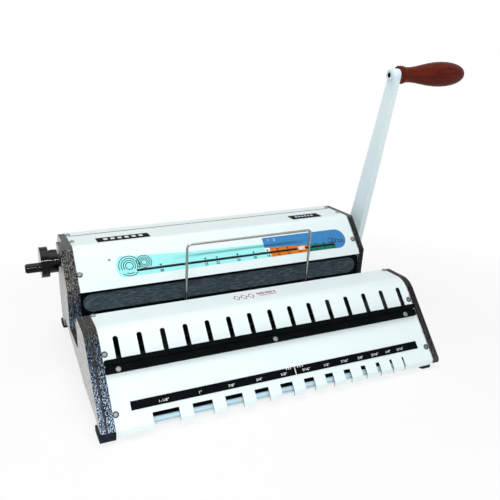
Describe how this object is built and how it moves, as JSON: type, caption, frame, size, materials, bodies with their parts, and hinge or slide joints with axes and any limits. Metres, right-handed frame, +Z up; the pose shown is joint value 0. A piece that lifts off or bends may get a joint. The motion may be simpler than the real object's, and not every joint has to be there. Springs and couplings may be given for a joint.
{
  "type": "wire binding closer",
  "caption": "Desk machine that punches sheets in its rear housing and closes wire binding in its slotted front housing, both worked by one side lever.",
  "frame": {"origin": "middle of the bounding box at the table, under the feet", "axes": "+X along the machine to the lever side, +Y to the back, +Z up"},
  "size_m": [0.5766, 0.312, 0.3565],
  "materials": {
    "white_sheet": "smooth white paint with a faint blue cast",
    "hammertone": "black and silver hammertone paint",
    "dark_pad": "dark blue-grey grained paint",
    "black_paint": "satin black paint",
    "pale_paint": "pale grey-blue paint",
    "steel": "machined steel",
    "zinc": "zinc-plated steel",
    "black_screw": "blackened steel",
    "bronze": "sintered bronze",
    "bright_wire": "bright wire",
    "rubber": "matt black rubber",
    "red_wood": "lacquered red-brown turned wood",
    "black_plastic": "gloss black plastic",
    "black_plate": "matt black printed plate",
    "pointer_red": "red plastic",
    "tray_grey": "grey plastic"
  },
  "bodies": {
    "frame": {"left_side_plate": "hammertone", "right_side_plate": "hammertone", "left_side_cover": "hammertone", "base_pan": "pale_paint", "cover_rails": "zinc", "front_cover": "white_sheet", "upper_cover": "white_sheet", "rear_cover": "white_sheet", "trough_panel": "black_paint", "rubber_feet": "rubber", "flush_screws": "zinc", "cover_screws": "zinc", "tie_rods": "zinc", "tie_screws": "black_screw", "die_block": "black_paint", "front_pad": "dark_pad", "stripper_plate": "steel", "paper_stop": "steel", "guide_posts": "steel", "anvil_bar": "black_paint", "anvil_screws": "zinc", "scale_strip": "black_plate", "name_plates": "black_plate", "closer_frame": "black_screw", "guide_rods": "steel", "rocker_bushes": "bronze", "shaft_bushes": "bronze", "bail_clips": "black_paint", "spindle_bushes": "bronze", "tray_runners": "zinc"},
    "lever": {"main_shaft": "steel", "closer_cranks": "zinc", "punch_cranks": "zinc", "lever_hub": "zinc", "lever_arm": "pale_paint", "lever_bolt": "black_screw", "grip_bolt": "black_screw"},
    "grip": {"grip": "red_wood"},
    "links": {"closer_links": "zinc"},
    "rocker": {"rocker_shaft": "steel", "rocker_arms": "zinc"},
    "jaw": {"jaw_bar": "black_paint", "jaw_carriage": "black_screw"},
    "punch": {"punch_bar": "steel", "punch_pins": "steel"},
    "bail": {"bail": "bright_wire"},
    "knob": {"size_spindle": "steel", "knob": "black_plastic", "knob_screw": "black_screw", "knob_crank": "black_plastic"},
    "pointer": {"pointer_nut": "bronze", "pointer_flag": "pointer_red"},
    "tray": {"chip_tray": "tray_grey"}
  },
  "joints": [
    {"name": "lever_swing", "type": "hinge", "parent": "frame", "child": "lever", "pos_m": [0.17475, 0.078, 0.085], "axis": [1, 0, 0], "range_deg": [-60, 0]},
    {"name": "grip_spin", "type": "hinge", "parent": "lever", "child": "grip", "pos_m": [0.18335, -0.00602, 0.34054], "axis": [1, 0, 0], "continuous": true},
    {"name": "link_swing", "type": "hinge", "parent": "lever", "child": "links", "pos_m": [-0.0392, 0.08925, 0.06551], "axis": [1, 0, 0], "range_deg": [0, 60]},
    {"name": "rocker_swing", "type": "hinge", "parent": "frame", "child": "rocker", "pos_m": [-0.0392, -0.076, 0.04], "axis": [1, 0, 0], "range_deg": [-60, 0]},
    {"name": "jaw_slide", "type": "slide", "parent": "frame", "child": "jaw", "axis": [0, 0.6428, 0.766], "range_m": [0, 0.0225]},
    {"name": "punch_slide", "type": "slide", "parent": "frame", "child": "punch", "axis": [0, 0, 1], "range_m": [0, 0.012]},
    {"name": "bail_swing", "type": "hinge", "parent": "frame", "child": "bail", "pos_m": [-0.0392, -0.03, 0.078], "axis": [1, 0, 0], "range_deg": [-56, 20]},
    {"name": "knob_turn", "type": "hinge", "parent": "frame", "child": "knob", "pos_m": [-0.27085, 0.05602, 0.1283], "axis": [1, 0, 0], "range_deg": [-3375, 720]},
    {"name": "pointer_slide", "type": "slide", "parent": "frame", "child": "pointer", "axis": [1, 0, 0], "range_m": [-0.225, 0.048]},
    {"name": "tray_slide", "type": "slide", "parent": "frame", "child": "tray", "axis": [0, 1, 0], "range_m": [0, 0.1]}
  ],
  "couplings": [
    {"joint": "link_swing", "follows": "lever_swing", "ratio": -1},
    {"joint": "rocker_swing", "follows": "lever_swing", "ratio": 1},
    {"joint": "jaw_slide", "follows": "lever_swing", "m_per_rad": -0.021486},
    {"joint": "punch_slide", "follows": "lever_swing", "m_per_rad": -0.011459},
    {"joint": "pointer_slide", "follows": "knob_turn", "m_per_rad": 0.0038197}
  ]
}
